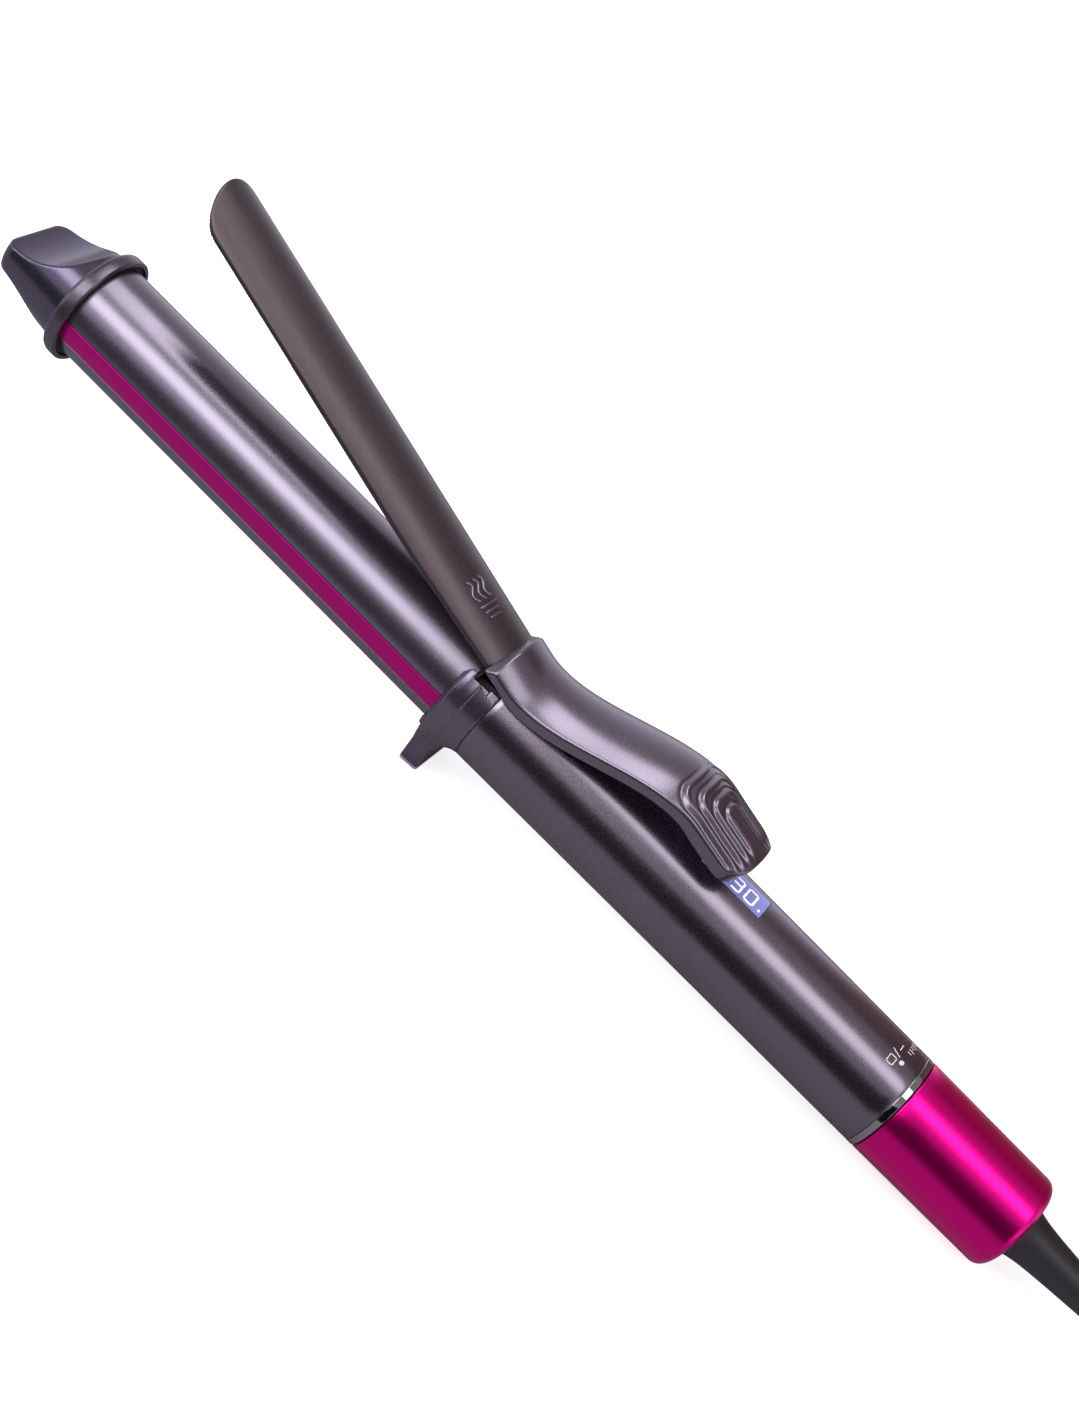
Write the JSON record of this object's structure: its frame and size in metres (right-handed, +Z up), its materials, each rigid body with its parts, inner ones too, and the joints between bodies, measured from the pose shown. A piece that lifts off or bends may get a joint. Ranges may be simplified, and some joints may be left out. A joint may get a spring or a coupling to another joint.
{
  "type": "curling iron",
  "caption": "Hand-held curling iron: heated barrel with a sprung thumb clamp, cool tip, stand collar, display handle, turning dial and swivel cord with a blade plug.",
  "frame": {"origin": "on the table, under the middle of the tool's length (cord not counted)", "axes": "+X along the tool from the cool tip towards the cord, +Z up, +Y across the tool; the tool lies nose up by 3.9 degrees on its stand and the dial's edge"},
  "size_m": [0.574, 0.054, 0.0912],
  "materials": {
    "barrel_coating": "gunmetal ceramic coating with a fine metallic flake, satin",
    "magenta_strip": "magenta baked enamel, satin gloss",
    "tip_ring_plastic": "heat resistant moulding, fine matt grain",
    "cap_plastic": "smooth heat resistant moulding, satin",
    "heater_ceramic": "fired alumina",
    "heat_aluminium": "extruded",
    "sensor_glass": "glass bead",
    "fuse_sleeve": "glass fibre sleeve over a fuse",
    "socket_plastic": "glass filled nylon",
    "collar_plastic": "gunmetal metallic paint, satin",
    "handle_plastic": "gunmetal metallic paint, satin",
    "spring_steel": "plated steel",
    "pin_steel": "bright steel",
    "clamp_coating": "warm gunmetal coating with a fine metallic flake",
    "lever_plastic": "gunmetal metallic paint, satin",
    "display_window": "backlit window",
    "display_block": "display block",
    "circuit_board": "solder resist",
    "carrier_plastic": "moulded",
    "capacitor_film": "dipped",
    "terminal_plastic": "moulded",
    "lead_sleeve": "silicone insulation",
    "trim_chrome": "dark smoked chrome",
    "contact_brass": "turned",
    "magenta_dial": "metallic magenta lacquer, satin gloss",
    "boot_rubber": "soft matt",
    "cord_rubber": "soft matt",
    "tie_fabric": "hook and loop strap",
    "plug_rubber": "moulded matt",
    "blade_metal": "nickel plated"
  },
  "bodies": {
    "root": {"barrel_tube": "barrel_coating", "strip_left": "magenta_strip", "strip_right": "magenta_strip", "tip_ring": "tip_ring_plastic", "tip_cap": "cap_plastic", "heater_plate": "heater_ceramic", "heat_shoe_upper": "heat_aluminium", "heat_shoe_lower": "heat_aluminium", "thermistor": "sensor_glass", "thermal_fuse": "fuse_sleeve", "barrel_socket": "socket_plastic", "collar_stand": "collar_plastic", "handle_shell": "handle_plastic", "hinge_bracket": "spring_steel", "hinge_pin": "pin_steel", "pin_clips": "spring_steel", "clamp_spring": "spring_steel", "display_lens": "display_window", "display_module": "display_block", "main_board": "circuit_board", "board_carrier": "carrier_plastic", "board_screws": "pin_steel", "film_capacitor": "capacitor_film", "terminal_block": "terminal_plastic", "heater_leads": "lead_sleeve", "mains_leads": "lead_sleeve", "trim_ring": "trim_chrome", "tail_spindle": "socket_plastic", "encoder_ring": "circuit_board", "brush_holder": "carrier_plastic", "brush_contacts": "contact_brass", "spindle_cap": "socket_plastic", "cord_lead": "cord_rubber", "cord_hank": "cord_rubber", "cord_tail": "cord_rubber", "cord_tie": "tie_fabric", "plug_body": "plug_rubber", "plug_blades": "blade_metal"},
    "clamp": {"clamp_plate": "clamp_coating", "clamp_lever": "lever_plastic", "clamp_screws": "pin_steel"},
    "dial": {"dial_sleeve": "magenta_dial", "dial_hub": "carrier_plastic"},
    "swivel": {"swivel_boot": "boot_rubber", "slip_rings": "contact_brass"}
  },
  "joints": [
    {"name": "clamp_hinge", "type": "hinge", "parent": "root", "child": "clamp", "pos_m": [-0.01201, 0, 0.03576], "axis": [0, 1, 0], "range_deg": [-16.2, 2.8], "stiffness_Nm_per_rad": 0.35, "springref_deg": -51.57},
    {"name": "dial_turn", "type": "hinge", "parent": "root", "child": "dial", "pos_m": [0.13793, 0, 0.01502], "axis": [0.9977, 0, -0.068], "range_deg": [-245, 25]},
    {"name": "cord_swivel", "type": "hinge", "parent": "root", "child": "swivel", "pos_m": [0.16786, 0, 0.01298], "axis": [0.9977, 0, -0.068], "continuous": true}
  ]
}
